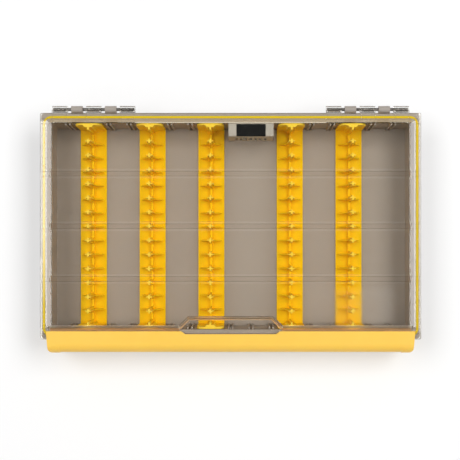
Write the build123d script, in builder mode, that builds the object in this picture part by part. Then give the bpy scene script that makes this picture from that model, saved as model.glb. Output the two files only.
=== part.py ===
from build123d import *
import os

# A flat utility box for fishing jigs: tray, clear lid, gasket, full-width latch bar,
# jig racks and a moisture absorber. Millimetres. The origin is the middle of the box's
# outline on the face that it rests on, +X to the right, +Y to the hinges, +Z up.

os.makedirs("parts", exist_ok=True)

# Tray
inner_length = 340.6  # room at the rim, left to right
inner_depth = 193.1  # room at the rim, front to back
tray_height = 44.5
wall = 2.2
draft = 0.8  # how far a wall leans in from the rim to the floor
cavity_radius = 3.0
floor_thickness = 2.2
foot_height = 1.4
foot_width = 3.0
gusset_pitch = 44.0
gusset_thickness = 1.6
gusset_height = 12.0
gusset_gap = 0.8  # short of the rim's edge

# Rim and gasket
rim_thickness = 3.6
rim_side = 6.0  # rim beyond the cavity
rim_back = 8.4
rim_front = 8.25
rim_radius = 3.0
gasket_width = 2.1
gasket_side = 3.6  # cavity's edge to the middle of the gasket
gasket_back = 4.8
gasket_front = 5.75
gasket_radius = 7.0
groove_depth = 1.8
groove_gap = 0.05
gasket_gap = 0.3  # gasket to closed lid

# Slots in the front and back walls
slot_pitch = 19.05
slot_width = 2.2
rib_thickness = 1.4
rib_depth = 2.0
rib_drop = 4.0  # ribs end this far under the rim

# Lid
lid_gap = 0.6
flange_thickness = 2.5
flange_side = 0.8  # flange beyond the rim
flange_front = 0.7
flange_radius = 1.5
panel_rise = 3.4
panel_wall = 2.2
panel_side = 1.7  # foot of the raised panel beyond the cavity
panel_back = 3.15
panel_front = -0.9
panel_foot_radius = 3.5
panel_top_radius = 2.0
step_side = 5.5  # slope from the panel's foot to its top, in plan
step_back = 3.5
step_front = 1.8
step_foot_wall = 1.2  # how far the hollow stays inside the slope, at its foot and its top
step_top_wall = 0.8
well_reach = 8.5
well_step = 2.1  # slope of the well's walls, in plan
well_inner_length = 77.5
well_outer_length = 95.0
well_wall = 2.4
bead_pitch = 48.85
bead_shift = -0.4  # middle bead from the middle of the tray
bead_width = 9.0
bead_flat = 4.5
bead_depth = 0.8
gate_radius = 1.6
gate_depth = 0.3
gate_shift = -0.7

# Lid hinges
hinge_rise = 1.1  # axis above the rim
hinge_offset = 127.25  # middle of each hinge from the middle of the box
knuckle_radius = 3.2
knuckle_length = 14.1  # of the lid's knuckles
knuckle_gap = 3.4
tray_knuckle_length = 10.5
knuckle_clearance = 0.35
arm_rib = 1.3  # thickness of the two ribs that carry a lid knuckle
arm_reach = 6.1  # ribs over the flange
arm_slant = 1.4  # their front ends lean away from the middle of the box
pin_radius = 1.5
pin_clearance = 0.05
pin_inset = 0.8

# Latch bar
latch_inset = 5.0  # latch end from the rim's end
latch_wall = 2.4
latch_end_wall = 3.4
lip_gap = 0.35  # lip above the flange
lip_tip = 2.25
tip_gap = 2.15  # lip to the panel's foot
lip_slope = 1.6  # drop of the top face from tip to shoulder
root_gap = 0.5  # inner corner of the lip from the flange
latch_bulge = 12.5  # front face beyond the flange
latch_waist = 24.0  # height where the front starts to lean in
latch_lean = 1.6
latch_toe = 5.0  # height of its lower edge
shoulder_radius = 9.0
waist_radius = 30.0
latch_end_radius = 4.5
latch_end_taper = 1.4  # each end narrows this much towards the front
end_pad = 0.5
end_pad_length = 11.5
rib_setback = 1.2  # latch ribs from the flange's edge
latch_rib_pitch = 68.0
latch_rib_thickness = 1.6
latch_rib_drop = 1.2
notch_length = 91.5
notch_floor_length = 84.6
notch_depth = 2.7

# Latch hinges
latch_axis_out = 4.8  # axis in front of the flange
latch_axis_height = 7.6
latch_hinge_offset = 150.0
latch_knuckle_radius = 3.2
latch_knuckle_length = 9.0
bracket_length = 12.0
latch_knuckle_gap = 0.5
latch_web_height = 9.6  # webs behind the latch's knuckles, above the axis
bracket_height = 16.0

# Jig racks
rack_slots = (-7, -4, -1, 3, 6)
rack_width = 25.3
rack_height = 39.4
rack_gap = 0.2
strip_thickness = 1.6
plate_corner = 8.0
end_plate = 2.0
boss_length = 10.0
boss_nose = 6.6
boss_depth = 4.0
rib_room = 0.3
spine_thickness = 1.7
spine_stub = 2.4  # full-height spine beside each end plate
spine_bite = 0.6  # spine's ends inside the bosses
post_pitch = 13.26
post_top = 4.2
post_foot = 6.0
end_bay = 13.0  # least room between the last post and the wall
web_height = 6.4  # low web under the notches
fin_thickness = 1.2
fin_top = 5.4
fin_neck = 6.8
fin_foot = 20.0
fin_neck_height = 15.0
fin_foot_height = 4.8

# Moisture absorber
absorber_slot = 1
absorber_side_gap = 4.25  # to the racks on both sides
absorber_depth = 12.7
absorber_height = 40.4
absorber_wall = 1.4
absorber_gap = 0.3
cap_thickness = 2.8
cap_plug = 2.0
plug_gap = 0.1
cap_edge = 0.6
tongue_thickness = 1.8
label_length = 27.2
label_depth = 11.5
label_thickness = 0.35
label_gap = 0.1
vent_count = 7
vent_width = 2.2
vent_height = 22.0
vent_pitch = 4.6
pad_gap = 0.4

# Places that follow from the sizes
floor_top = foot_height + floor_thickness
rim_low = tray_height - rim_thickness
front_reach = rim_front + flange_front + latch_bulge + end_pad
back_reach = rim_back + knuckle_clearance + 2 * knuckle_radius
cavity_y = (front_reach - back_reach) / 2
cavity_front = cavity_y - inner_depth / 2
cavity_back = cavity_y + inner_depth / 2
rim_half = inner_length / 2 + rim_side
rim_front_y = cavity_front - rim_front
rim_back_y = cavity_back + rim_back
rib_top = tray_height - rib_drop
flange_low = tray_height + lid_gap
flange_top = flange_low + flange_thickness
flange_half = rim_half + flange_side
flange_front_y = rim_front_y - flange_front
panel_top = flange_top + panel_rise
panel_half = inner_length / 2 + panel_side
panel_front_y = cavity_front - panel_front
panel_back_y = cavity_back + panel_back
hinge_y = rim_back_y + knuckle_clearance + knuckle_radius
hinge_z = tray_height + hinge_rise
bore_radius = pin_radius + pin_clearance
knuckle_pitch = (knuckle_length + tray_knuckle_length) / 2 + knuckle_gap
hinge_length = 4 * knuckle_pitch + knuckle_length
latch_half = rim_half - latch_inset
latch_front_y = flange_front_y - latch_bulge
latch_y = flange_front_y - latch_axis_out
latch_z = latch_axis_height
latch_hinge_length = bracket_length + 2 * (latch_knuckle_gap + latch_knuckle_length)
latch_knuckle_step = (bracket_length + latch_knuckle_length) / 2 + latch_knuckle_gap
pair_width = slot_width + 2 * rib_thickness
rack_top = floor_top + rack_height
last_slot = int((inner_length / 2 - cavity_radius - pair_width / 2) / slot_pitch)
gusset_steps = int((hinge_offset - hinge_length / 2) / gusset_pitch)
latch_rib_steps = int((latch_hinge_offset - latch_hinge_length / 2) / latch_rib_pitch + 0.5)
side_posts = int((inner_depth / 2 - end_bay) / post_pitch)
posts = [cavity_y + post_pitch * step for step in range(-side_posts, side_posts + 1)]


def across(x, length):
    # Plane square to X, at the left end of a length that is centred on x
    return Plane.YZ.offset(x - length / 2)


def rounded(half_length, front, back, radius, mode=Mode.ADD):
    # A rounded rectangle in the sketch at hand, between two places in Y
    with Locations((0, (front + back) / 2)):
        RectangleRounded(2 * half_length, back - front, radius, mode=mode)


def plate(height, half_length, front, back, radius):
    with BuildSketch(Plane.XY.offset(height)) as outline:
        rounded(half_length, front, back, radius)
    return outline.sketch


def lean(height):
    # How far the tray's walls have come in at a height
    return draft * (tray_height - height) / (tray_height - floor_top)


def cavity_plan(height, grow=0.0):
    # The tray's inner outline at a height, grown by a wall or shrunk by a clearance
    side = grow - lean(height)
    return plate(
        height, inner_length / 2 + side, cavity_front - side, cavity_back + side, cavity_radius + grow
    )


def gasket_band(height, width):
    # A closed band along the gasket's line
    with BuildSketch(Plane.XY.offset(height)) as band:
        for grow, mode in ((width / 2, Mode.ADD), (-width / 2, Mode.SUBTRACT)):
            rounded(
                inner_length / 2 + gasket_side + grow,
                cavity_front - gasket_front - grow,
                cavity_back + gasket_back + grow,
                gasket_radius + grow,
                mode,
            )
    return band.sketch


def tilted_room(grow=0.0):
    # The space inside the tray, from floor to rim
    with BuildPart() as room:
        loft([cavity_plan(floor_top, grow), cavity_plan(tray_height, grow)])
    return room.part


def rib_pair(x, gap=0.0):
    # Two ribs on the front wall and two on the back, with a slot between each two
    with BuildPart() as pair:
        with BuildSketch(Plane.XY.offset(floor_top)):
            with Locations((x, cavity_y)):
                Rectangle(pair_width + 2 * gap, 2 * inner_depth)
                Rectangle(slot_width - 2 * gap, 2 * inner_depth, mode=Mode.SUBTRACT)
        extrude(amount=rib_top - floor_top + gap)
    return pair.part


# Rib pairs, each rib standing a fixed depth off its leaning wall
with BuildPart() as ribs:
    for slot in range(-last_slot, last_slot + 1):
        add(rib_pair(slot * slot_pitch))
    add(tilted_room(wall / 4), mode=Mode.INTERSECT)
    add(tilted_room(-rib_depth), mode=Mode.SUBTRACT)

# Tray
with BuildPart() as base_tray:
    loft([cavity_plan(0, wall), cavity_plan(rim_low, wall)])
    extrude(plate(rim_low, rim_half, rim_front_y, rim_back_y, rim_radius), amount=rim_thickness)
    # Gussets under the rim, at the two ends and at the back between the hinges
    for step in range(-gusset_steps, gusset_steps + 1):
        with BuildSketch(Plane.XZ.offset(-cavity_y - gusset_pitch * step - gusset_thickness / 2)):
            for side in (-1, 1):
                inner_x = side * (inner_length / 2 - draft)
                Polygon(
                    (inner_x, rim_low),
                    (side * (rim_half - gusset_gap), rim_low),
                    (inner_x, rim_low - gusset_height),
                    align=None,
                )
        extrude(amount=gusset_thickness)
        with BuildSketch(across(gusset_pitch * step, gusset_thickness)):
            Polygon(
                (cavity_back - draft, rim_low),
                (rim_back_y - gusset_gap, rim_low),
                (cavity_back - draft, rim_low - gusset_height),
                align=None,
            )
        extrude(amount=gusset_thickness)
    for side in (-1, 1):
        # Hinge knuckles behind the rim
        for step in (-1, 1):
            with BuildSketch(across(side * hinge_offset + step * knuckle_pitch, tray_knuckle_length)):
                with Locations((hinge_y, hinge_z)):
                    Circle(knuckle_radius)
                Polygon(
                    (rim_back_y - rim_thickness, rim_low),
                    (hinge_y, hinge_z - knuckle_radius),
                    (hinge_y, hinge_z),
                    (rim_back_y, tray_height),
                    (rim_back_y - rim_thickness, tray_height),
                    align=None,
                )
                with Locations((hinge_y, hinge_z)):
                    Circle(bore_radius, mode=Mode.SUBTRACT)
            extrude(amount=tray_knuckle_length)
        # Bracket that carries the latch
        with BuildSketch(across(side * latch_hinge_offset, bracket_length)):
            with Locations((latch_y, latch_z)):
                Circle(latch_knuckle_radius)
            Polygon(
                (cavity_front + draft - wall / 2, latch_z - latch_knuckle_radius),
                (latch_y, latch_z - latch_knuckle_radius),
                (latch_y, latch_z + latch_knuckle_radius),
                (cavity_front + draft - wall / 2, latch_z + bracket_height),
                align=None,
            )
            with Locations((latch_y, latch_z)):
                Circle(bore_radius, mode=Mode.SUBTRACT)
        extrude(amount=bracket_length)
    # Room inside, the gasket's groove, and a recess below that leaves a foot all round
    add(tilted_room(), mode=Mode.SUBTRACT)
    groove = gasket_band(tray_height, gasket_width + 2 * groove_gap)
    extrude(groove, amount=-groove_depth, mode=Mode.SUBTRACT)
    extrude(cavity_plan(0, wall - foot_width), amount=foot_height, mode=Mode.SUBTRACT)
    add(ribs.part)
base_tray.part.label = "base_tray"
export_step(base_tray.part, "parts/base_tray.step")

# Gasket
with BuildPart() as gasket:
    gasket_low = tray_height - groove_depth
    extrude(gasket_band(gasket_low, gasket_width), amount=flange_low - gasket_gap - gasket_low)
gasket.part.label = "gasket"
export_step(gasket.part, "parts/gasket.step")


def well_outline(height, grow):
    # Thumb well in plan at the panel's top: a trapezoid that runs out over the flange
    outer_y = panel_front_y + step_front
    inner_y = outer_y + well_reach
    with BuildSketch(Plane.XY.offset(height)) as outline:
        Polygon(
            (-well_outer_length / 2, panel_front_y - wall - well_step),
            (well_outer_length / 2, panel_front_y - wall - well_step),
            (well_outer_length / 2, outer_y),
            (well_inner_length / 2, inner_y),
            (-well_inner_length / 2, inner_y),
            (-well_outer_length / 2, outer_y),
            align=None,
        )
        if grow:
            offset(amount=grow, kind=Kind.INTERSECTION)
    return outline.sketch


def well_form(low, grow=0.0):
    # The well's room from a height up to the panel's top, with leaning walls
    with BuildPart() as form:
        loft([well_outline(low, grow - well_step), well_outline(panel_top, grow)])
    return form.part


def panel_plan(height, slope, inset=0.0):
    # Raised panel in plan, at its foot (slope 0) or its top (slope 1), drawn in by an inset
    return plate(
        height,
        panel_half - slope * step_side - inset,
        panel_front_y + slope * step_front + inset,
        panel_back_y - slope * step_back - inset,
        panel_foot_radius + slope * (panel_top_radius - panel_foot_radius) - inset,
    )


def bead_profile(height):
    # Shallow channels across the panel, as profiles square to X
    with BuildSketch(across(0, 2 * panel_half)) as profile:
        for step in (-1, 0, 1):
            middle = cavity_y + bead_shift + step * bead_pitch
            Polygon(
                (middle - bead_width / 2, height),
                (middle - bead_flat / 2, height - bead_depth),
                (middle + bead_flat / 2, height - bead_depth),
                (middle + bead_width / 2, height),
                align=None,
            )
    return profile.sketch


# Hollow under the lid's panel, which leaves the well's walls and the beads' undersides
with BuildPart() as lid_hollow:
    loft(
        [
            panel_plan(flange_low, 0, step_foot_wall),
            panel_plan(panel_top - panel_wall, 1, step_top_wall),
        ]
    )
    add(well_form(flange_low, well_wall), mode=Mode.SUBTRACT)
    extrude(bead_profile(panel_top - panel_wall), amount=2 * panel_half, mode=Mode.SUBTRACT)

# Lid
with BuildPart() as lid:
    flange = plate(flange_low, flange_half, flange_front_y, rim_back_y, flange_radius)
    extrude(flange, amount=flange_thickness)
    loft([panel_plan(flange_top, 0), panel_plan(panel_top, 1)])
    add(lid_hollow.part, mode=Mode.SUBTRACT)
    add(well_form(flange_top), mode=Mode.SUBTRACT)
    extrude(bead_profile(panel_top), amount=2 * panel_half, mode=Mode.SUBTRACT)
    with BuildSketch(Plane.XY.offset(panel_top - bead_depth)):
        with Locations((gate_shift, cavity_y + bead_shift)):
            Circle(gate_radius)
    extrude(amount=-gate_depth, mode=Mode.SUBTRACT)
    # Knuckles behind the flange, each with two slanted ribs that reach forward over it
    for side in (-1, 1):
        for step in (-2, 0, 2):
            knuckle_x = side * hinge_offset + step * knuckle_pitch
            for end in (-1, 1):
                rib_x = knuckle_x + end * (knuckle_length - arm_rib) / 2
                front_x = rib_x + side * arm_slant
                with BuildSketch(Plane.XY.offset(flange_low)):
                    Polygon(
                        (rib_x - arm_rib / 2, hinge_y),
                        (front_x - arm_rib / 2, rim_back_y - arm_reach),
                        (front_x + arm_rib / 2, rim_back_y - arm_reach),
                        (rib_x + arm_rib / 2, hinge_y),
                        align=None,
                    )
                extrude(amount=hinge_z + knuckle_radius - flange_low)
            with BuildSketch(across(knuckle_x, knuckle_length)):
                with Locations((hinge_y, hinge_z)):
                    Circle(knuckle_radius)
                with Locations((hinge_y, flange_top)):
                    Rectangle(
                        hinge_y - rim_back_y + wall, flange_thickness, align=(Align.MAX, Align.MAX)
                    )
            extrude(amount=knuckle_length)
        bore_length = hinge_length + 2 * arm_slant
        with BuildSketch(across(side * hinge_offset, bore_length)):
            with Locations((hinge_y, hinge_z)):
                Circle(bore_radius)
        extrude(amount=bore_length, mode=Mode.SUBTRACT)
lid.part.label = "lid"
export_step(lid.part, "parts/lid.step")

# Hinge pins and latch pins
for name, y, z, offset_x, length in (
    ("hinge_pin", hinge_y, hinge_z, hinge_offset, hinge_length - 2 * pin_inset),
    ("latch_pin", latch_y, latch_z, latch_hinge_offset, latch_hinge_length - 2 * pin_inset),
):
    for side, side_name in ((-1, "left"), (1, "right")):
        with BuildPart() as pin:
            with BuildSketch(across(side * offset_x, length)):
                with Locations((y, z)):
                    Circle(pin_radius)
            extrude(amount=length)
        pin.part.label = f"{name}_{side_name}"
        export_step(pin.part, f"parts/{name}_{side_name}.step")


def latch_skin(front_y):
    # Outer line of the latch in side view, from the lip's tip over the shoulder to the toe
    tip_z = flange_top + lip_gap + lip_tip
    shoulder_z = tip_z - lip_slope
    return FilletPolyline(
        (panel_front_y - tip_gap, tip_z),
        (front_y, shoulder_z),
        (front_y, latch_waist),
        (latch_front_y + latch_lean, latch_toe),
        radius=(shoulder_radius, waist_radius),
    )


def latch_section(x, length, front_y):
    # The bar's wall in side view
    inner_y = latch_front_y + latch_wall
    tip_y = panel_front_y - tip_gap
    root_y = flange_front_y - root_gap
    lip_low = flange_top + lip_gap
    with BuildSketch(across(x, length)) as section:
        with BuildLine():
            skin = latch_skin(front_y)
            lip = Polyline(skin @ 0, (tip_y, lip_low), (root_y, lip_low))
            lining = FilletPolyline(
                lip @ 1,
                (inner_y, lip_low - lip_slope / 2),
                (inner_y, latch_waist),
                (inner_y + latch_lean, latch_toe),
                radius=(shoulder_radius - latch_wall, waist_radius),
            )
            Line(lining @ 1, skin @ 1)
        make_face()
    return section.sketch


def latch_fill(x, length, front_y):
    # All that lies between the bar's skin and the line where its ribs end
    rib_y = flange_front_y - rib_setback
    rib_high = flange_top - latch_rib_drop
    with BuildSketch(across(x, length)) as section:
        with BuildLine():
            skin = latch_skin(front_y)
            Polyline(skin @ 1, (rib_y, latch_toe), (rib_y, rib_high), skin @ 0)
        make_face()
        with Locations((rib_y, latch_toe)):
            Rectangle(
                2 * latch_bulge, rib_high - latch_toe, align=(Align.MAX, Align.MIN), mode=Mode.INTERSECT
            )
    return section.sketch


# Latch bar
pad_y = latch_front_y - end_pad
with BuildPart() as latch:
    extrude(latch_section(0, 2 * latch_half, latch_front_y), amount=2 * latch_half)
    for side in (-1, 1):
        # A slightly thicker pad and an end wall at each end
        pad_x = side * (latch_half - end_pad_length / 2)
        extrude(latch_section(pad_x, end_pad_length, pad_y), amount=end_pad_length)
        end_wall_x = side * (latch_half - latch_end_wall / 2)
        extrude(latch_fill(end_wall_x, latch_end_wall, pad_y), amount=latch_end_wall)
        # Knuckles beside the tray's bracket
        for step in (-1, 1):
            knuckle_x = side * latch_hinge_offset + step * latch_knuckle_step
            with BuildSketch(across(knuckle_x, latch_knuckle_length)):
                with Locations((latch_y, latch_z)):
                    Circle(latch_knuckle_radius)
                Polygon(
                    (latch_y, latch_z + latch_knuckle_radius),
                    (latch_front_y + latch_wall / 2, latch_z + latch_web_height),
                    (latch_front_y + latch_lean + latch_wall / 2, latch_toe),
                    (latch_y, latch_z - latch_knuckle_radius),
                    align=None,
                )
                with Locations((latch_y, latch_z)):
                    Circle(bore_radius, mode=Mode.SUBTRACT)
            extrude(amount=latch_knuckle_length)
    # Stiffening ribs between the brackets
    for step in range(-latch_rib_steps, latch_rib_steps):
        rib_x = (step + 0.5) * latch_rib_pitch
        extrude(latch_fill(rib_x, latch_rib_thickness, latch_front_y), amount=latch_rib_thickness)
    # Notch in the lip's edge that leaves the lid's thumb well open
    with BuildSketch(Plane.XY):
        Polygon(
            (-notch_length / 2, panel_front_y - tip_gap),
            (notch_length / 2, panel_front_y - tip_gap),
            (notch_floor_length / 2, panel_front_y - tip_gap - notch_depth),
            (-notch_floor_length / 2, panel_front_y - tip_gap - notch_depth),
            align=None,
        )
    extrude(amount=panel_top, mode=Mode.SUBTRACT)
    # Ends narrow a little towards the front, with rounded corners in plan
    with BuildSketch(Plane.XY) as latch_plan:
        Polygon(
            (-latch_half, cavity_front),
            (latch_half, cavity_front),
            (latch_half - latch_end_taper, pad_y),
            (latch_end_taper - latch_half, pad_y),
            align=None,
        )
        fillet(latch_plan.vertices().group_by(Axis.Y)[0], latch_end_radius)
    extrude(amount=panel_top, mode=Mode.INTERSECT)
latch.part.label = "latch"
export_step(latch.part, "parts/latch.step")


def end_plate_plan(height):
    # Rack end plate in plan: flat on the back wall, with a boss round the wall's rib pair
    face_y = cavity_back - lean(height) - rack_gap
    with BuildSketch(Plane.XY.offset(height)) as outline:
        Polygon(
            (-rack_width / 2, face_y),
            (-rack_width / 2, face_y - end_plate),
            (-boss_length / 2, face_y - end_plate),
            (-boss_nose / 2, face_y - boss_depth),
            (boss_nose / 2, face_y - boss_depth),
            (boss_length / 2, face_y - end_plate),
            (rack_width / 2, face_y - end_plate),
            (rack_width / 2, face_y),
            align=None,
        )
    return outline.sketch


def notch_outline(middle_y, top_width):
    # A jig's notch in the spine, in side view
    half = (top_width - post_foot + post_top) / 2
    low = floor_top + web_height
    with BuildSketch(Plane.YZ.offset(-spine_thickness)) as outline:
        Polygon(
            (middle_y - top_width / 2, rack_top),
            (middle_y - half, low),
            (middle_y + half, low),
            (middle_y + top_width / 2, rack_top),
            align=None,
        )
    return outline.sketch


# What a rack must leave free for the walls' ribs
with BuildPart() as rib_clearance:
    with BuildSketch(Plane.XY.offset(floor_top)):
        with Locations((0, cavity_y)):
            Rectangle(pair_width + 2 * rib_room, 2 * inner_depth)
    extrude(amount=rib_top + rib_room - floor_top)
    add(tilted_room(-rib_depth - rib_room), mode=Mode.SUBTRACT)

# One post's cross fins: a narrow neck that flares out to the web
with BuildPart() as fins:
    with BuildSketch(Plane.XZ.offset(-fin_thickness / 2)):
        with BuildLine():
            Polyline(
                (0, rack_top),
                (fin_top / 2, rack_top),
                (fin_neck / 2, floor_top + fin_neck_height),
                (fin_foot / 2, floor_top + fin_foot_height),
                (fin_foot / 2, floor_top),
                (0, floor_top),
            )
            mirror(about=Plane.YZ)
        make_face()
    extrude(amount=fin_thickness)

# Jig rack at the middle of the box: end plates with round corners, strip, spine and posts
with BuildPart() as rack_form:
    loft([end_plate_plan(floor_top), end_plate_plan(rack_top)])
    with BuildSketch(Plane.XZ.offset(-cavity_back)) as plate_face:
        with Locations((0, floor_top)):
            Rectangle(rack_width, rack_height, align=(Align.CENTER, Align.MIN))
        fillet(plate_face.vertices().group_by(Axis.Y)[-1], plate_corner)
    extrude(amount=inner_depth / 2, mode=Mode.INTERSECT)
    mirror(about=Plane.XZ.offset(-cavity_y))
    strip_half = inner_depth / 2 - draft - rack_gap - end_plate / 2
    with BuildSketch(Plane.XY.offset(floor_top)):
        with Locations((0, cavity_y)):
            Rectangle(rack_width, 2 * strip_half)
    extrude(amount=strip_thickness)
    spine_half = inner_depth / 2 - rack_gap - boss_depth
    with BuildSketch(Plane.XY.offset(floor_top)):
        with Locations((0, cavity_y)):
            Rectangle(spine_thickness, 2 * (spine_half + spine_bite))
    extrude(amount=rack_height)
    with Locations(*[(0, y, 0) for y in posts]):
        add(fins.part)
    # Notches between the posts, and one more at each end beside a stub of full height
    notches = [(y + post_pitch / 2, post_pitch - post_top) for y in posts[:-1]]
    stub = spine_half - spine_stub
    last_post = posts[-1] - cavity_y + post_top / 2
    for side in (-1, 1):
        notches.append((cavity_y + side * (stub + last_post) / 2, stub - last_post))
    for middle, width in notches:
        extrude(notch_outline(middle, width), amount=2 * spine_thickness, mode=Mode.SUBTRACT)
    add(rib_clearance.part, mode=Mode.SUBTRACT)

for number, slot in enumerate(rack_slots, start=1):
    with BuildPart() as rack:
        with Locations((slot * slot_pitch, 0, 0)):
            add(rack_form.part)
    rack.part.label = f"rack_{number}"
    export_step(rack.part, f"parts/rack_{number}.step")

# Moisture absorber, in the bay between two racks, against the back wall's ribs
absorber_x = absorber_slot * slot_pitch
absorber_length = 4 * slot_pitch - rack_width - 2 * absorber_side_gap
absorber_back = cavity_back - absorber_gap
absorber_front = absorber_back - absorber_depth
housing_back = cavity_back - draft - rib_depth - absorber_gap
housing_top = floor_top + absorber_height - cap_thickness
housing_y = (absorber_front + housing_back) / 2
housing_depth = housing_back - absorber_front

# Housing: an open-topped case with vents in its front, and a tongue that slides in a wall slot
with BuildPart() as absorber_housing:
    with BuildSketch(Plane.XY.offset(floor_top)):
        with Locations((absorber_x, housing_y)):
            Rectangle(absorber_length, housing_depth)
        tongue_back = cavity_back - draft - absorber_gap
        with Locations((absorber_x, (housing_y + tongue_back) / 2)):
            Rectangle(tongue_thickness, tongue_back - housing_y)
    extrude(amount=housing_top - floor_top)
    with BuildSketch(Plane.XY.offset(floor_top + absorber_wall)):
        with Locations((absorber_x, housing_y)):
            Rectangle(absorber_length - 2 * absorber_wall, housing_depth - 2 * absorber_wall)
    extrude(amount=housing_top - floor_top, mode=Mode.SUBTRACT)
    with BuildSketch(Plane.XZ.offset(-housing_y)):
        with Locations((absorber_x, (floor_top + housing_top) / 2)):
            with GridLocations(vent_pitch, 1, vent_count, 1):
                Rectangle(vent_width, vent_height)
    extrude(amount=housing_depth, mode=Mode.SUBTRACT)
absorber_housing.part.label = "absorber_housing"
export_step(absorber_housing.part, "parts/absorber_housing.step")

# Pad that fills the housing
with BuildPart() as absorber_pad:
    margin = 2 * (absorber_wall + pad_gap)
    with BuildSketch(Plane.XY.offset(floor_top + absorber_wall)):
        with Locations((absorber_x, housing_y)):
            Rectangle(absorber_length - margin, housing_depth - margin)
    extrude(amount=housing_top - cap_plug - pad_gap - floor_top - absorber_wall)
absorber_pad.part.label = "absorber_pad"
export_step(absorber_pad.part, "parts/absorber_pad.step")

# Cap that reaches back over the ribs, with a plug in the housing and a recess for the label
label_y = absorber_front + label_depth / 2
cap_top = housing_top + cap_thickness
with BuildPart() as absorber_cap:
    with BuildSketch(Plane.XY.offset(housing_top)):
        with Locations((absorber_x, absorber_back - absorber_depth / 2)):
            Rectangle(absorber_length, absorber_depth)
    extrude(amount=cap_thickness)
    chamfer(absorber_cap.edges().group_by(Axis.Z)[-1], cap_edge)
    plug_margin = 2 * (absorber_wall + plug_gap)
    with BuildSketch(Plane.XY.offset(housing_top)):
        with Locations((absorber_x, housing_y)):
            Rectangle(absorber_length - plug_margin, housing_depth - plug_margin)
    extrude(amount=-cap_plug)
    with BuildSketch(Plane.XY.offset(cap_top)):
        with Locations((absorber_x, label_y)):
            Rectangle(label_length + 2 * label_gap, label_depth + 2 * label_gap)
    extrude(amount=-label_thickness, mode=Mode.SUBTRACT)
absorber_cap.part.label = "absorber_cap"
export_step(absorber_cap.part, "parts/absorber_cap.step")

# Label in the cap's recess
with BuildPart() as absorber_label:
    with BuildSketch(Plane.XY.offset(cap_top - label_thickness)):
        with Locations((absorber_x, label_y)):
            Rectangle(label_length, label_depth)
    extrude(amount=label_thickness)
absorber_label.part.label = "absorber_label"
export_step(absorber_label.part, "parts/absorber_label.step")
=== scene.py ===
import bpy
import math
from mathutils import Matrix, Vector


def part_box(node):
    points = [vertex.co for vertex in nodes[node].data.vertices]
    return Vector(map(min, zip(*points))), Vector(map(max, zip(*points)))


# Jig box: grey tray, clear lid, yellow gasket, latch bar and jig racks, small absorber
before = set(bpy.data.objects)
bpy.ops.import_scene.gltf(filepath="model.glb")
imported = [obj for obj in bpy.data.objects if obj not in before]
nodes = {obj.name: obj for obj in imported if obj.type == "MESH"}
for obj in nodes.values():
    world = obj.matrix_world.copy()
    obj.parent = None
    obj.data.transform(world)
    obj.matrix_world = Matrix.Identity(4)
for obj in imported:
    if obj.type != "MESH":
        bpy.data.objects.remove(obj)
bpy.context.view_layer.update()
print("frame loaded:", len(nodes), "nodes")

mm = 0.001


# Small helpers for node trees

def newMaterial(name):
    material = bpy.data.materials.new(name)
    material.use_nodes = True
    tree = material.node_tree
    tree.nodes.clear()
    output = tree.nodes.new("ShaderNodeOutputMaterial")
    shader = tree.nodes.new("ShaderNodeBsdfPrincipled")
    tree.links.new(shader.outputs["BSDF"], output.inputs["Surface"])
    return material, tree, shader, output


def addNode(tree, kind, values=None, **settings):
    node = tree.nodes.new(kind)
    for name, value in settings.items():
        setattr(node, name, value)
    for name, value in (values or {}).items():
        node.inputs[name].default_value = value
    return node


def mathNode(tree, operation, first, second=None, clamp=False):
    node = tree.nodes.new("ShaderNodeMath")
    node.operation = operation
    node.use_clamp = clamp
    for socket, value in zip(node.inputs, (first, second)):
        if value is None:
            continue
        if isinstance(value, (int, float)):
            socket.default_value = value
        else:
            tree.links.new(value, socket)
    return node.outputs[0]


def mixColour(tree, factor, first, second):
    node = tree.nodes.new("ShaderNodeMix")
    node.data_type = "RGBA"
    sockets = (node.inputs[0], node.inputs[6], node.inputs[7])  # factor and both colours
    for socket, value in zip(sockets, (factor, first, second)):
        if isinstance(value, tuple):
            socket.default_value = (*value, 1.0)
        else:
            tree.links.new(value, socket)
    return node.outputs[2]


def mixShaders(tree, factor, first, second):
    node = tree.nodes.new("ShaderNodeMixShader")
    for socket, value in zip(node.inputs, (factor, first, second)):
        tree.links.new(value, socket)
    return node.outputs[0]


def placeParts(tree):
    # X, Y and Z of the piece's own place
    place = tree.nodes.new("ShaderNodeTexCoord")
    parts = tree.nodes.new("ShaderNodeSeparateXYZ")
    tree.links.new(place.outputs["Object"], parts.inputs[0])
    return parts.outputs


# Surface of moulded plastic: fine grain, and slow streaks from the moulding

mouldedNoise = {
    "grain": {"Detail": 3.0, "Roughness": 0.6},
    "streak": {"Detail": 2.0, "Distortion": 0.6},
    "grainShare": 0.5,
    "middle": 0.5,
}


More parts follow.
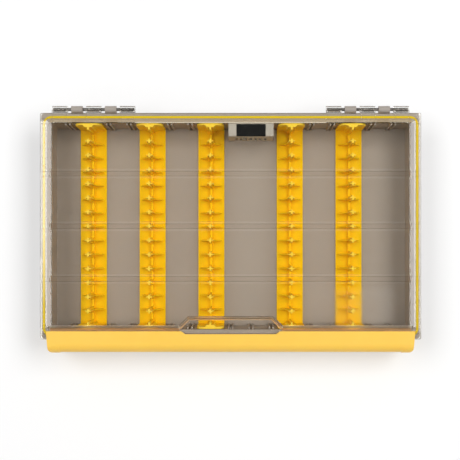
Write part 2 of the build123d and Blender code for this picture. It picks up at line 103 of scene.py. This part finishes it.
def buildMouldedGroup(noise):
    group = bpy.data.node_groups.new("mouldedSurface", "ShaderNodeTree")
    face = group.interface
    for name, kind, value in (
        ("Colour", "NodeSocketColor", (0.5, 0.5, 0.5, 1.0)),
        ("Grain Size", "NodeSocketFloat", 0.4 * mm),
        ("Streak Size", "NodeSocketFloat", 30 * mm),
        ("Variation", "NodeSocketFloat", 0.05),
        ("Roughness", "NodeSocketFloat", 0.5),
        ("Roughness Spread", "NodeSocketFloat", 0.06),
    ):
        face.new_socket(name, in_out="INPUT", socket_type=kind).default_value = value
    for name, kind in (
        ("Colour", "NodeSocketColor"),
        ("Roughness", "NodeSocketFloat"),
        ("Height", "NodeSocketFloat"),
    ):
        face.new_socket(name, in_out="OUTPUT", socket_type=kind)
    start = group.nodes.new("NodeGroupInput")
    end = group.nodes.new("NodeGroupOutput")
    place = group.nodes.new("ShaderNodeTexCoord").outputs["Object"]
    grainScale = mathNode(group, "DIVIDE", 1.0, start.outputs["Grain Size"])
    streakScale = mathNode(group, "DIVIDE", 1.0, start.outputs["Streak Size"])
    grain = addNode(group, "ShaderNodeTexNoise", noise["grain"])
    streak = addNode(group, "ShaderNodeTexNoise", noise["streak"])
    for texture, scale in ((grain, grainScale), (streak, streakScale)):
        group.links.new(place, texture.inputs["Vector"])
        group.links.new(scale, texture.inputs["Scale"])
    streakShare = mathNode(group, "SUBTRACT", streak.outputs["Fac"], noise["middle"])
    grainShare = mathNode(group, "SUBTRACT", grain.outputs["Fac"], noise["middle"])
    grainShare = mathNode(group, "MULTIPLY", grainShare, noise["grainShare"])
    both = mathNode(group, "ADD", streakShare, grainShare)
    # The noise swings half way to each side, so it is doubled
    change = mathNode(group, "MULTIPLY", both, start.outputs["Variation"])
    lift = mathNode(group, "ADD", mathNode(group, "MULTIPLY", change, 2.0), 1.0)
    scaled = addNode(group, "ShaderNodeVectorMath", operation="SCALE")
    group.links.new(start.outputs["Colour"], scaled.inputs[0])
    group.links.new(lift, scaled.inputs["Scale"])
    group.links.new(scaled.outputs[0], end.inputs["Colour"])
    spread = mathNode(group, "MULTIPLY", both, start.outputs["Roughness Spread"])
    rough = mathNode(group, "ADD", mathNode(group, "MULTIPLY", spread, 2.0), start.outputs["Roughness"])
    group.links.new(rough, end.inputs["Roughness"])
    group.links.new(grain.outputs["Fac"], end.inputs["Height"])
    return group


mouldedGroup = buildMouldedGroup(mouldedNoise)

plainSurface = {"ior": 1.5, "shine": 0.5, "metallic": 0.0}  # where a look doesn't say


def mouldedMaterial(look):
    look = {**plainSurface, **look}
    material, tree, shader = newMaterial(look["name"])[:3]
    surface = tree.nodes.new("ShaderNodeGroup")
    surface.node_tree = mouldedGroup
    for name, value in (
        ("Colour", (*look["colour"], 1.0)),
        ("Grain Size", look["grain"]),
        ("Streak Size", look["streak"]),
        ("Variation", look["variation"]),
        ("Roughness", look["roughness"]),
        ("Roughness Spread", look["roughnessSpread"]),
    ):
        surface.inputs[name].default_value = value
    bump = addNode(tree, "ShaderNodeBump", {"Strength": look["bump"], "Distance": look["bumpDepth"]})
    tree.links.new(surface.outputs["Height"], bump.inputs["Height"])
    colour = surface.outputs["Colour"]
    if "topsHighlight" in look:
        # Painted highlight: what stands high is painted paler, for the gloss that light leaves on it
        height = mathNode(tree, "SUBTRACT", placeParts(tree)[2], look["highlightFrom"])
        share = mathNode(tree, "DIVIDE", height, look["highlightFade"], clamp=True)
        colour = mixColour(tree, share, colour, look["topsHighlight"])
    tree.links.new(colour, shader.inputs["Base Color"])
    tree.links.new(surface.outputs["Roughness"], shader.inputs["Roughness"])
    tree.links.new(bump.outputs["Normal"], shader.inputs["Normal"])
    shader.inputs["IOR"].default_value = look["ior"]
    shader.inputs["Specular IOR Level"].default_value = look["shine"]
    shader.inputs["Metallic"].default_value = look["metallic"]
    if "subsurface" in look:
        shader.inputs["Subsurface Weight"].default_value = look["subsurface"]
        shader.inputs["Subsurface Radius"].default_value = look["subsurfaceRadius"]
        shader.inputs["Subsurface Scale"].default_value = look["subsurfaceScale"]
    return material


def dress(name, material):
    node = nodes[name]
    node.data.materials.clear()
    node.data.materials.append(material)


edgeFinish = {"weld": 0.002 * mm, "flatAngle": 0.4, "segments": 2, "sharpAngle": 32.0, "weight": 90}


def softenEdges(name, width):
    # The sharp edges of a moulded piece get the small radius that a mould leaves
    node = nodes[name]
    weld = node.modifiers.new("weld", "WELD")
    weld.merge_threshold = edgeFinish["weld"]
    flat = node.modifiers.new("flat", "DECIMATE")
    flat.decimate_type = "DISSOLVE"
    flat.angle_limit = math.radians(edgeFinish["flatAngle"])
    bevel = node.modifiers.new("edges", "BEVEL")
    bevel.width = width
    bevel.segments = edgeFinish["segments"]
    bevel.limit_method = "ANGLE"
    bevel.angle_limit = math.radians(edgeFinish["sharpAngle"])
    bevel.use_clamp_overlap = True
    bevel.harden_normals = True
    bevel.miter_outer = "MITER_ARC"
    level = node.modifiers.new("level", "WEIGHTED_NORMAL")
    level.mode = "FACE_AREA"
    level.weight = edgeFinish["weight"]
    level.keep_sharp = True


# Tray

trayLook = {
    "name": "trayPlastic",
    "colour": (0.335, 0.294, 0.255),
    "grain": 0.35 * mm,
    "streak": 42 * mm,
    "variation": 0.05,
    "roughness": 0.5,
    "roughnessSpread": 0.08,
    "bump": 0.18,
    "bumpDepth": 0.05 * mm,
    "edge": 0.25 * mm,
}
dress("base_tray", mouldedMaterial(trayLook))
softenEdges("base_tray", trayLook["edge"])
print("tray done")

# Gasket

gasketLook = {
    "name": "gasketRubber",
    "colour": (0.76, 0.56, 0.006),
    "shine": 0.1,
    "grain": 0.3 * mm,
    "streak": 20 * mm,
    "variation": 0.04,
    "roughness": 0.6,
    "roughnessSpread": 0.05,
    "bump": 0.15,
    "bumpDepth": 0.04 * mm,
}
dress("gasket", mouldedMaterial(gasketLook))

# Latch bar

latchLook = {
    "name": "latchPlastic",
    "colour": (0.95, 0.585, 0.085),
    "grain": 0.25 * mm,
    "streak": 36 * mm,
    "variation": 0.03,
    "roughness": 0.36,
    "roughnessSpread": 0.06,
    "bump": 0.1,
    "bumpDepth": 0.03 * mm,
    "subsurface": 0.15,
    "subsurfaceRadius": (1.0, 0.45, 0.1),
    "subsurfaceScale": 1.2 * mm,
    "edge": 0.3 * mm,
}
dress("latch", mouldedMaterial(latchLook))
softenEdges("latch", latchLook["edge"])

# Jig racks

rackLook = {
    "name": "rackPlastic",
    "colour": (0.985, 0.635, 0.001),
    "shine": 0.08,
    "grain": 0.3 * mm,
    "streak": 30 * mm,
    "variation": 0.03,
    "roughness": 0.45,
    "roughnessSpread": 0.06,
    "bump": 0.1,
    "bumpDepth": 0.03 * mm,
    # Painted highlight: the posts' upper ends are painted paler from 28 mm up, fading in over 8 mm
    "topsHighlight": (0.985, 0.69, 0.06),
    "highlightFrom": 28 * mm,
    "highlightFade": 8 * mm,
    "subsurface": 0.15,
    "subsurfaceRadius": (1.0, 0.6, 0.15),
    "subsurfaceScale": 1.2 * mm,
    "edge": 0.2 * mm,
}
rackMaterial = mouldedMaterial(rackLook)
for number in range(1, 6):
    dress(f"rack_{number}", rackMaterial)
    softenEdges(f"rack_{number}", rackLook["edge"])
print("yellow pieces done")

# Absorber: housing and cap, the felt pad inside, and the plain label

absorberLook = {
    "name": "absorberPlastic",
    "colour": (0.42, 0.39, 0.34),
    "grain": 0.5 * mm,
    "streak": 9 * mm,
    "variation": 0.16,
    "roughness": 0.55,
    "roughnessSpread": 0.1,
    "bump": 0.3,
    "bumpDepth": 0.05 * mm,
    "edge": 0.2 * mm,
}
absorberMaterial = mouldedMaterial(absorberLook)
for name in ("absorber_housing", "absorber_cap"):
    dress(name, absorberMaterial)
softenEdges("absorber_housing", absorberLook["edge"])

padLook = {
    "name": "absorberFelt",
    "colour": (0.72, 0.7, 0.64),
    "grain": 0.6 * mm,
    "streak": 5 * mm,
    "variation": 0.2,
    "roughness": 0.95,
    "roughnessSpread": 0.03,
    "bump": 0.6,
    "bumpDepth": 0.15 * mm,
}
dress("absorber_pad", mouldedMaterial(padLook))

labelLook = {
    "name": "labelFilm",
    "colour": (0.006, 0.006, 0.006),
    "shine": 0.08,
    "grain": 0.25 * mm,
    "streak": 12 * mm,
    "variation": 0.2,
    "roughness": 0.38,
    "roughnessSpread": 0.05,
    "bump": 0.05,
    "bumpDepth": 0.02 * mm,
}
dress("absorber_label", mouldedMaterial(labelLook))
print("absorber done")

# Steel pins

pinLook = {
    "name": "pinSteel",
    "colour": (0.2, 0.185, 0.17),
    "metallic": 1.0,
    "grain": 0.2 * mm,
    "streak": 4 * mm,
    "variation": 0.12,
    "roughness": 0.28,
    "roughnessSpread": 0.12,
    "bump": 0.08,
    "bumpDepth": 0.02 * mm,
}
pinMaterial = mouldedMaterial(pinLook)
for name in ("hinge_pin_left", "hinge_pin_right", "latch_pin_left", "latch_pin_right"):
    dress(name, pinMaterial)
print("pins done")

# Clear lid: polished plastic, with a matt patch near its front right corner, and painted shade and light
# tinted into its colour

lidLook = {
    "name": "clearPlastic",
    "colour": (0.985, 0.98, 0.965),
    "ior": 1.49,
    "roughness": 0.02,
    "shadow": (1.0, 0.99, 0.97),
    "edge": 0.45 * mm,
    "body": (0.8, 0.765, 0.69),
    "bodyDensity": 60.0,
    "trapped": 5.5,  # bounces that light makes in the plastic before it gets out
    # The matt patch
    "frosted": 0.16,
    "patchMiddle": (109.5 * mm, -71.5 * mm),
    "patchHalf": (42.5 * mm, 19.5 * mm),
    "patchFade": 12 * mm,
    # Painted shade: the corners of the beads' channels are tinted darker, for the dark lines that
    # refraction makes there
    "line": (0.4, 0.365, 0.31),
    "lineMiddle": 3.0 * mm,
    "linePitch": 48.85 * mm,
    "lineHalf": 2.25 * mm,
    "lineWidth": 0.32 * mm,
    # Painted light: the leaning wall of the thumb well, its long side and its slanted ends, is tinted
    # with a warm glow from the yellow latch
    "wall": (0.95, 0.73, 0.48),
    "wallRoughness": 0.45,
    "wellEdge": -81.95 * mm,
    "wellHalf": 38.75 * mm,
    "wellEnd": 47.5 * mm,
    "wellSide": (0.697, 0.717),
    "wellBand": (-2.2 * mm, 0.3 * mm),
    # Painted light: the panel's front slope and foot get an orange glow from the latch, its top a pale
    # sheen, and its back slope a warm sheen
    "front": (0.98, 0.56, 0.2),
    "frontBand": (-94.4 * mm, -91.6 * mm),
    "frontTop": (1.0, 0.94, 0.82),
    "frontTopBand": (-91.6 * mm, -88.9 * mm),
    "back": (0.97, 0.84, 0.62),
    "backBand": (98.6 * mm, 103.2 * mm),
    "panelHalf": 168 * mm,
    # Painted shade: the flange's edge all round is tinted darker
    "outline": (0.6, 0.56, 0.5),
    "outlineBand": (-0.7 * mm, 0.1 * mm),
    "flangeBack": 108.35 * mm,
}


def bandMask(tree, value, band):
    above = mathNode(tree, "GREATER_THAN", value, band[0])
    return mathNode(tree, "MULTIPLY", above, mathNode(tree, "LESS_THAN", value, band[1]))


def patchMask(tree, parts, look):
    shares = []
    for axis in range(2):
        away = mathNode(tree, "SUBTRACT", parts[axis], look["patchMiddle"][axis])
        away = mathNode(tree, "SUBTRACT", mathNode(tree, "ABSOLUTE", away), look["patchHalf"][axis])
        share = mathNode(tree, "DIVIDE", away, look["patchFade"])
        shares.append(mathNode(tree, "SUBTRACT", 0.5, share, clamp=True))
    return mathNode(tree, "MULTIPLY", shares[0], shares[1])


# Where the thumb well's leaning wall lies: it is rougher there, and painted with a warm glow
def wellMask(tree, parts, across, look):
    past = mathNode(tree, "SUBTRACT", parts[1], look["wellEdge"])
    beyond = mathNode(tree, "SUBTRACT", across, look["wellHalf"])
    leaning = mathNode(
        tree, "ADD",
        mathNode(tree, "MULTIPLY", beyond, look["wellSide"][0]),
        mathNode(tree, "MULTIPLY", past, look["wellSide"][1]),
    )
    return bandMask(tree, mathNode(tree, "MAXIMUM", past, leaning), look["wellBand"])


# Painted shade: where the dark lines at the corners of the beads' channels lie
def paintedBeadLines(tree, parts, look):
    halfPitch = 0.5 * look["linePitch"]
    away = mathNode(tree, "SUBTRACT", parts[1], look["lineMiddle"] - halfPitch)
    away = mathNode(tree, "FLOORED_MODULO", away, look["linePitch"])
    away = mathNode(tree, "ABSOLUTE", mathNode(tree, "SUBTRACT", away, halfPitch))
    away = mathNode(tree, "ABSOLUTE", mathNode(tree, "SUBTRACT", away, look["lineHalf"]))
    share = mathNode(tree, "DIVIDE", away, look["lineWidth"])
    return mathNode(tree, "SUBTRACT", 1.0, share, clamp=True)


# Painted shade: the band along the flange's edge that is tinted darker
def outlineMask(tree, parts, across, look):
    lidLow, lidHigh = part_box("lid")
    rim = mathNode(tree, "SUBTRACT", across, lidHigh[0])
    rim = mathNode(tree, "MAXIMUM", rim, mathNode(tree, "SUBTRACT", lidLow[1], parts[1]))
    rim = mathNode(tree, "MAXIMUM", rim, mathNode(tree, "SUBTRACT", parts[1], look["flangeBack"]))
    return bandMask(tree, rim, look["outlineBand"])


def slopeMasks(tree, parts, look):
    # Where each painted tint of the lid lies, in the order in which they go over each other: glows,
    # sheens and an edge shade
    across = mathNode(tree, "ABSOLUTE", parts[0])
    beside = bandMask(tree, across, (look["wellEnd"], look["panelHalf"]))
    front = bandMask(tree, parts[1], look["frontBand"])
    frontTop = bandMask(tree, parts[1], look["frontTopBand"])
    back = bandMask(tree, parts[1], look["backBand"])
    inside = mathNode(tree, "LESS_THAN", across, look["panelHalf"])
    return {
        "wall": wellMask(tree, parts, across, look),
        "front": mathNode(tree, "MULTIPLY", beside, front),
        "frontTop": mathNode(tree, "MULTIPLY", beside, frontTop),
        "back": mathNode(tree, "MULTIPLY", back, inside),
        "outline": outlineMask(tree, parts, across, look),
    }


def straightRays(tree, look):
    # Light reaches what is under the lid by straight rays, and light that runs round
    # inside the plastic gets out in the end
    path = tree.nodes.new("ShaderNodeLightPath")
    straight = mathNode(tree, "ADD", path.outputs["Is Shadow Ray"], path.outputs["Is Diffuse Ray"])
    trapped = mathNode(tree, "GREATER_THAN", path.outputs["Ray Depth"], look["trapped"])
    return mathNode(tree, "ADD", straight, trapped, clamp=True)


def clearMaterial(look):
    material, tree, shader, output = newMaterial(look["name"])
    shader.inputs["IOR"].default_value = look["ior"]
    shader.inputs["Transmission Weight"].default_value = 1.0
    body = addNode(tree, "ShaderNodeVolumeAbsorption", {"Density": look["bodyDensity"]})
    body.inputs["Color"].default_value = (*look["body"], 1.0)
    tree.links.new(body.outputs[0], output.inputs["Volume"])
    parts = placeParts(tree)
    masks = slopeMasks(tree, parts, look)
    # The patch is matt, and the leaning walls are less polished than the panel
    extra = mathNode(tree, "MULTIPLY", patchMask(tree, parts, look), look["frosted"] - look["roughness"])
    rough = mathNode(tree, "ADD", extra, look["roughness"])
    leans = mathNode(tree, "MAXIMUM", masks["front"], masks["frontTop"])
    leans = mathNode(tree, "MAXIMUM", masks["wall"], leans)
    wallExtra = mathNode(tree, "MULTIPLY", leans, look["wallRoughness"])
    tree.links.new(mathNode(tree, "ADD", rough, wallExtra), shader.inputs["Roughness"])
    # Painted shade and light: darker bead corners and flange edge, and glows and sheens on the slopes,
    # tinted into the clear colour
    colour = mixColour(tree, paintedBeadLines(tree, parts, look), look["colour"], look["line"])
    for tint, share in masks.items():
        colour = mixColour(tree, share, colour, look[tint])
    tree.links.new(colour, shader.inputs["Base Color"])
    through = addNode(tree, "ShaderNodeBsdfTransparent", {"Color": (*look["shadow"], 1.0)})
    surface = mixShaders(tree, straightRays(tree, look), shader.outputs[0], through.outputs[0])
    tree.links.new(surface, output.inputs["Surface"])
    return material


dress("lid", clearMaterial(lidLook))
softenEdges("lid", lidLook["edge"])
print("lid done")

# Floor: it keeps the box's shadow, and far from the box it runs into the white behind it

floorLook = {
    "size": 14.0,
    "colour": (0.92, 0.92, 0.92),
    "roughness": 0.9,
    "glow": (0.3, 1.0),  # share of plain white near the box and far from it
    "fade": (0.5, 2.2),
}


def buildFloor(look):
    bpy.ops.object.select_all(action="DESELECT")
    bpy.ops.mesh.primitive_plane_add(size=look["size"])
    floor = bpy.context.object
    floor.name = "floor"
    material, tree, shader, output = newMaterial("paleFloor")
    shader.inputs["Base Color"].default_value = (*look["colour"], 1.0)
    shader.inputs["Roughness"].default_value = look["roughness"]
    shader.inputs["Specular IOR Level"].default_value = 0.0
    glow = addNode(tree, "ShaderNodeEmission", {"Color": (1, 1, 1, 1), "Strength": 1.0})
    path = tree.nodes.new("ShaderNodeLightPath")
    seen = mathNode(tree, "ADD", path.outputs["Is Camera Ray"], path.outputs["Is Glossy Ray"])
    seen = mathNode(tree, "ADD", seen, path.outputs["Is Transmission Ray"], clamp=True)
    place = tree.nodes.new("ShaderNodeTexCoord")
    reach = addNode(tree, "ShaderNodeVectorMath", operation="LENGTH")
    tree.links.new(place.outputs["Object"], reach.inputs[0])
    share = addNode(tree, "ShaderNodeMapRange", {
        "From Min": look["fade"][0],
        "From Max": look["fade"][1],
        "To Min": look["glow"][0],
        "To Max": look["glow"][1],
    }, interpolation_type="SMOOTHSTEP")
    tree.links.new(reach.outputs["Value"], share.inputs["Value"])
    factor = mathNode(tree, "MULTIPLY", seen, share.outputs[0])
    surface = mixShaders(tree, factor, shader.outputs[0], glow.outputs[0])
    tree.links.new(surface, output.inputs["Surface"])
    floor.data.materials.append(material)


buildFloor(floorLook)

# Two softboxes light the box from its sides. The other lamps show only as reflections in the
# lid: pale bands along the flange's sides, and a strip in each side slope of the panel

lampSettings = (
    {
        "name": "leftSoft",
        "place": (-1.1, 0.35, 1.9),
        "size": (0.9, 1.5),
        "power": 19.0,
    },
    {
        "name": "rightSoft",
        "place": (1.1, 0.35, 1.9),
        "size": (0.9, 1.5),
        "power": 26.5,
    },
    {
        "name": "leftSheen",
        "place": (-0.605, 0.07, 2.0),
        "size": (0.106, 0.58),
        "power": 1.0,
        "glossOnly": True,
        "fade": (-0.2, 0.03),  # dark and bright ends, along Y
    },
    {
        "name": "leftEdge",
        "place": (-0.602, -0.17, 2.0),
        "size": (0.06, 0.26),
        "power": 0.3,
        "glossOnly": True,
    },
    {
        "name": "rightEdge",
        "place": (0.567, 0.065, 2.0),
        "size": (0.06, 0.65),
        "power": 0.55,
        "glossOnly": True,
    },
    {
        "name": "leftStrip",
        "place": (-1.15, 0.0, 0.35),
        "size": (0.14, 1.3),
        "power": 3.4,
        "glossOnly": True,
    },
    {
        "name": "rightStrip",
        "place": (1.15, 0.0, 0.35),
        "size": (0.14, 1.3),
        "power": 3.4,
        "glossOnly": True,
    },
)


def fadeLamp(light, fade):
    # Its light dies away towards the front
    light.use_nodes = True
    tree = light.node_tree
    place = tree.nodes.new("ShaderNodeNewGeometry")
    parts = tree.nodes.new("ShaderNodeSeparateXYZ")
    tree.links.new(place.outputs["Position"], parts.inputs[0])
    share = addNode(tree, "ShaderNodeMapRange", {"From Min": fade[0], "From Max": fade[1]})
    tree.links.new(parts.outputs[1], share.inputs["Value"])
    tree.links.new(share.outputs[0], tree.nodes["Emission"].inputs["Strength"])


def buildLamp(look):
    light = bpy.data.lights.new(look["name"], "AREA")
    light.shape = "RECTANGLE"
    light.size, light.size_y = look["size"]
    light.energy = look["power"]
    if "fade" in look:
        fadeLamp(light, look["fade"])
    lamp = bpy.data.objects.new(look["name"], light)
    place = Vector(look["place"])
    lamp.location = place
    # Its second size lies along Y, and it faces the box
    facing = place.normalized()
    side = Vector((0, 1, 0)).cross(facing).normalized()
    turn = Matrix((side, facing.cross(side), facing)).transposed()
    lamp.rotation_euler = turn.to_euler()
    lamp.visible_diffuse = not look.get("glossOnly", False)
    bpy.context.scene.collection.objects.link(lamp)


for look in lampSettings:
    buildLamp(look)

# Soft room light: strongest half way up, weak overhead and near the horizon

roomLook = {
    "stops": ((0.0, 0.3), (0.25, 0.34), (0.55, 0.5), (0.88, 0.5), (0.96, 0.05)),  # height, grey
    "shown": (1.0, 1.0, 1.0),
}


def buildRoom(look):
    world = bpy.data.worlds.new("softRoom")
    world.use_nodes = True
    tree = world.node_tree
    tree.nodes.clear()
    output = tree.nodes.new("ShaderNodeOutputWorld")
    back = tree.nodes.new("ShaderNodeBackground")
    place = tree.nodes.new("ShaderNodeTexCoord")
    parts = tree.nodes.new("ShaderNodeSeparateXYZ")
    ramp = tree.nodes.new("ShaderNodeValToRGB")
    tree.links.new(place.outputs["Generated"], parts.inputs[0])
    tree.links.new(parts.outputs[2], ramp.inputs[0])
    points = ramp.color_ramp.elements
    while len(points) < len(look["stops"]):
        points.new(0.5)
    for point, (height, grey) in zip(points, look["stops"]):
        point.position = height
        point.color = (grey, grey, grey, 1.0)
    path = tree.nodes.new("ShaderNodeLightPath")
    shown = mixColour(tree, path.outputs["Is Camera Ray"], ramp.outputs[0], look["shown"])
    tree.links.new(shown, back.inputs["Color"])
    tree.links.new(back.outputs[0], output.inputs["Surface"])
    bpy.context.scene.world = world


buildRoom(roomLook)

# Camera, straight above and a little off the middle of the box

frameSize = 460
cameraSettings = {
    "place": (8 * mm, -19 * mm, 952 * mm),
    "lens": 76.15,
    "film": 36.0,
    "shift": (-9.2 / frameSize, 20 / frameSize),
}


def buildCamera(look):
    lens = bpy.data.cameras.new("camera")
    lens.lens = look["lens"]
    lens.sensor_width = look["film"]
    lens.shift_x, lens.shift_y = look["shift"]
    camera = bpy.data.objects.new("camera", lens)
    camera.location = look["place"]
    bpy.context.scene.collection.objects.link(camera)
    bpy.context.scene.camera = camera


buildCamera(cameraSettings)
bpy.context.scene.view_settings.view_transform = "Standard"
print("floor, lamps and camera done")

bpy.context.view_layer.update()
